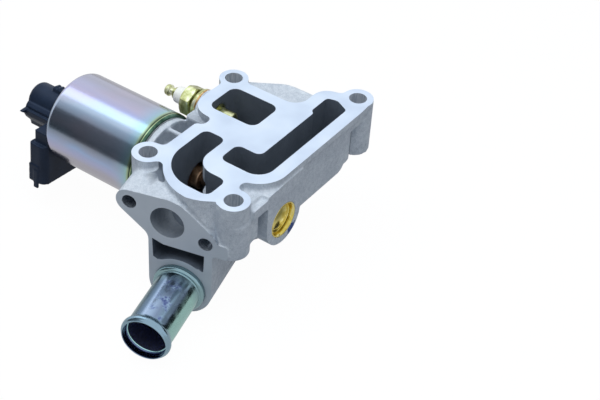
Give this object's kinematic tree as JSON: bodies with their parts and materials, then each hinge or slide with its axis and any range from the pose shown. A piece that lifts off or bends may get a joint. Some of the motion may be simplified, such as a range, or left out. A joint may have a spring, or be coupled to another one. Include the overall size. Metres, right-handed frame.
{
  "type": "exhaust gas recirculation valve",
  "caption": "Solenoid exhaust gas valve with position sensor on a cast gas and coolant housing, with a machined head face, gas pipe flange, hose pipe and temperature sender.",
  "frame": {"origin": "centre of the bolt hole nearest the gas pipe flange and the core plug, on the machined head face", "axes": "+Z out of the machined head face, +X along the valve stem from the solenoid to the core plug, +Y along the long gas runner"},
  "size_m": [0.1574, 0.1641, 0.0701],
  "materials": {
    "cast_alloy": "sand cast and shot blasted, machined on its faces",
    "zinc_pipe": "zinc plated with a faint green and violet passivation",
    "yellow_passivated_steel": "pressed steel with yellow passivation",
    "sender_brass": "machined brass, dulled to olive gold",
    "sealing_washer": "crushed copper, darkened",
    "white_insulator": "moulded",
    "terminal_brass": "machined",
    "gasket_fibre": "pressed fibre",
    "passivated_plate": "pressed steel with dark green passivation",
    "screw_steel": "zinc plated",
    "zinc_plated_can": "bright zinc with a faint violet and yellow passivation",
    "bobbin_nylon": "moulded",
    "winding_copper": "enamelled wire",
    "sleeve_steel": "drawn, not magnetic",
    "soft_iron": "turned",
    "stem_steel": "ground, browned by exhaust heat",
    "heat_tinted_bush": "sintered, tinted copper brown by exhaust heat",
    "seal_rubber": "moulded",
    "spring_steel": "drawn wire",
    "plunger_nylon": "moulded",
    "black_nylon": "glass filled, slightly dusty",
    "track_board": "printed resistor track",
    "pin_brass": "tin plated"
  },
  "bodies": {
    "valve_housing": {"housing": "cast_alloy", "hose_stub": "zinc_pipe", "core_plug": "yellow_passivated_steel", "sender_body": "sender_brass", "sender_washer": "sealing_washer", "sender_insulator": "white_insulator", "sender_terminal": "terminal_brass", "base_gasket": "gasket_fibre", "base_plate": "passivated_plate", "base_screws": "screw_steel", "solenoid_can": "zinc_plated_can", "coil_bobbin": "bobbin_nylon", "coil_winding": "winding_copper", "guide_sleeve": "sleeve_steel", "pole_core": "soft_iron", "valve_seat": "stem_steel", "stem_bush": "heat_tinted_bush", "stem_seal": "seal_rubber", "return_spring": "spring_steel", "sensor_cap": "black_nylon", "cap_seal": "seal_rubber", "sensor_track": "track_board", "connector_pins": "pin_brass"},
    "pintle": {"armature": "soft_iron", "valve_stem": "stem_steel", "sensor_plunger": "plunger_nylon"}
  },
  "joints": [
    {"name": "pintle_slide", "type": "slide", "parent": "valve_housing", "child": "pintle", "axis": [-1, 0, 0], "range_m": [0, 0.0045], "stiffness_N_per_m": 2500, "springref_m": -0.006, "deforming": ["return_spring"]}
  ]
}
